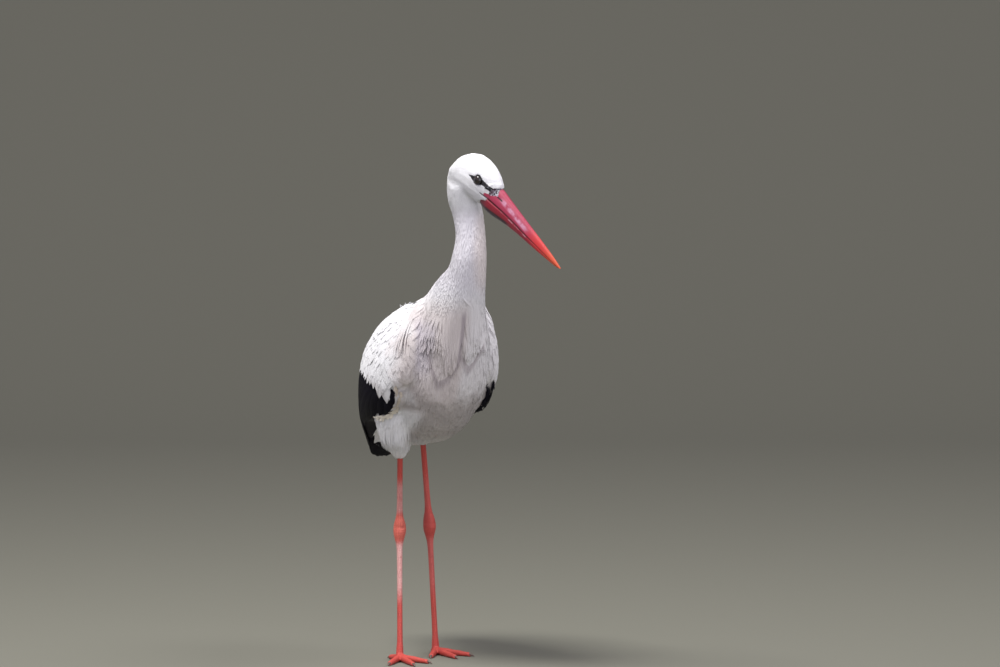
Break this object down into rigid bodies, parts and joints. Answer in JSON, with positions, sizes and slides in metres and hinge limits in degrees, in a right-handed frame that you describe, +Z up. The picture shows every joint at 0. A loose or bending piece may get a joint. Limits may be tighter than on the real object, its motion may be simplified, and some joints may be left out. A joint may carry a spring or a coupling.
{
  "type": "white stork",
  "caption": "Standing white stork, life-size still model: slim neck, long straight red bill turned to one side, folded wings with black flight feathers, long red legs.",
  "frame": {"origin": "on the floor, under the middle of the bird's box", "axes": "the bird faces -Y, its own left is +X, +Z is up"},
  "size_m": [0.2, 0.5992, 0.8166],
  "materials": {
    "white_feather": "white contour feathers",
    "breast_feather": "greyish white breast plumes, stained a little buff",
    "neck_feather": "short, soft, cool white neck feathers",
    "black_feather": "black flight feathers with a slight sheen",
    "bill_red": "smooth red horn, paler and scuffed in the middle",
    "leg_red": "scaled red skin with a pale dusty bloom",
    "claw_horn": "dark blunt horn",
    "eye_brown": "wet dark brown eye"
  },
  "bodies": {
    "root": {"head": "white_feather", "neck_upper": "neck_feather", "neck_lower": "breast_feather", "trunk": "white_feather", "tail": "white_feather", "bill_upper": "bill_red", "bill_lower": "bill_red", "eye_left": "eye_brown", "wing_left": "white_feather", "flight_feathers_left": "black_feather", "thigh_left": "white_feather", "shank_left": "leg_red", "tarsus_left": "leg_red", "foot_left": "leg_red", "claw_left_inner": "claw_horn", "claw_left_middle": "claw_horn", "claw_left_outer": "claw_horn", "claw_left_hind": "claw_horn", "eye_right": "eye_brown", "wing_right": "white_feather", "flight_feathers_right": "black_feather", "thigh_right": "white_feather", "shank_right": "leg_red", "tarsus_right": "leg_red", "foot_right": "leg_red", "claw_right_inner": "claw_horn", "claw_right_middle": "claw_horn", "claw_right_outer": "claw_horn", "claw_right_hind": "claw_horn"}
  },
  "joints": []
}
